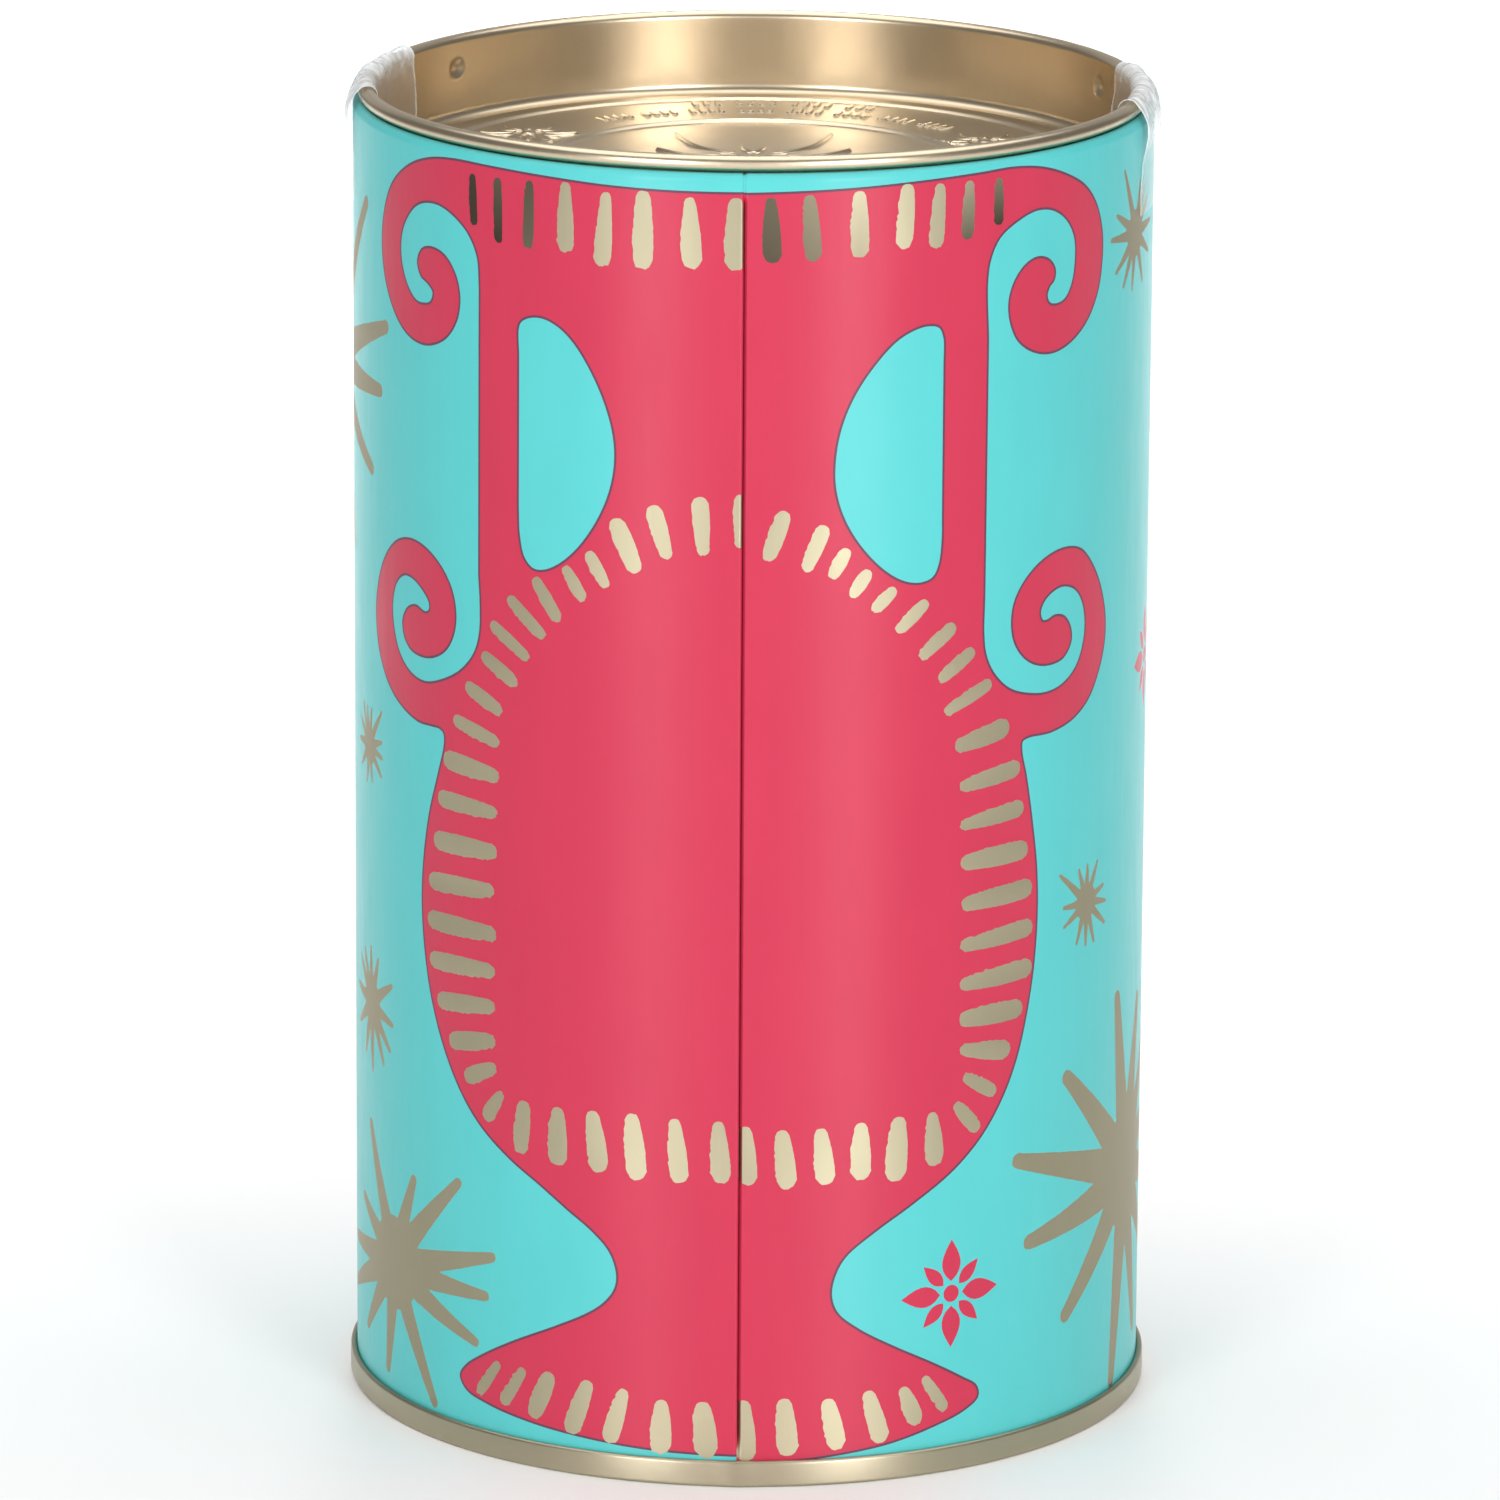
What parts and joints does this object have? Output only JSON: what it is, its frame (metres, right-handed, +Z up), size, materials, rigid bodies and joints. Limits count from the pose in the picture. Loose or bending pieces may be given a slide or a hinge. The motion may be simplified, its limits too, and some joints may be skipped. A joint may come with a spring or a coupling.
{
  "type": "round cookie tin",
  "caption": "Tall round tinplate cookie tin with a double-seamed base, a folded side seam, a recessed plug lid with a curled rim, and clear film seals over the rim.",
  "frame": {"origin": "centre of the ring the tin stands on, on the table", "axes": "+Z up along the tin's axis, -Y towards the side seam, +X to the right when the seam faces the viewer"},
  "size_m": [0.0864, 0.0864, 0.1425],
  "materials": {
    "litho_tinplate": "satin printed lacquer over tinplate, turquoise ground with raspberry and bare-metal print",
    "gold_tinplate": "gold lacquer over tinplate, satin with a fine rolling grain",
    "seam_compound": "matt grey lining compound",
    "clear_film": "clear adhesive film, glossy with fine creases"
  },
  "bodies": {
    "tin": {"body_shell": "litho_tinplate", "base_end": "gold_tinplate", "seam_compound": "seam_compound"},
    "lid": {"lid": "gold_tinplate", "left_seal_inner": "clear_film", "right_seal_inner": "clear_film"},
    "left_tab": {"left_seal_tab": "clear_film"},
    "right_tab": {"right_seal_tab": "clear_film"}
  },
  "joints": [
    {"name": "lid_lift", "type": "slide", "parent": "tin", "child": "lid", "axis": [0, 0, 1], "range_m": [0, 0.12]},
    {"name": "left_seal_peel", "type": "hinge", "parent": "lid", "child": "left_tab", "pos_m": [-0.04176, 0.0055, 0.1416], "axis": [0.1305, 0.9914, 0], "range_deg": [0, 130]},
    {"name": "right_seal_peel", "type": "hinge", "parent": "lid", "child": "right_tab", "pos_m": [0.04212, -0.00073, 0.1416], "axis": [-0.0175, -0.9998, 0], "range_deg": [0, 130]}
  ]
}
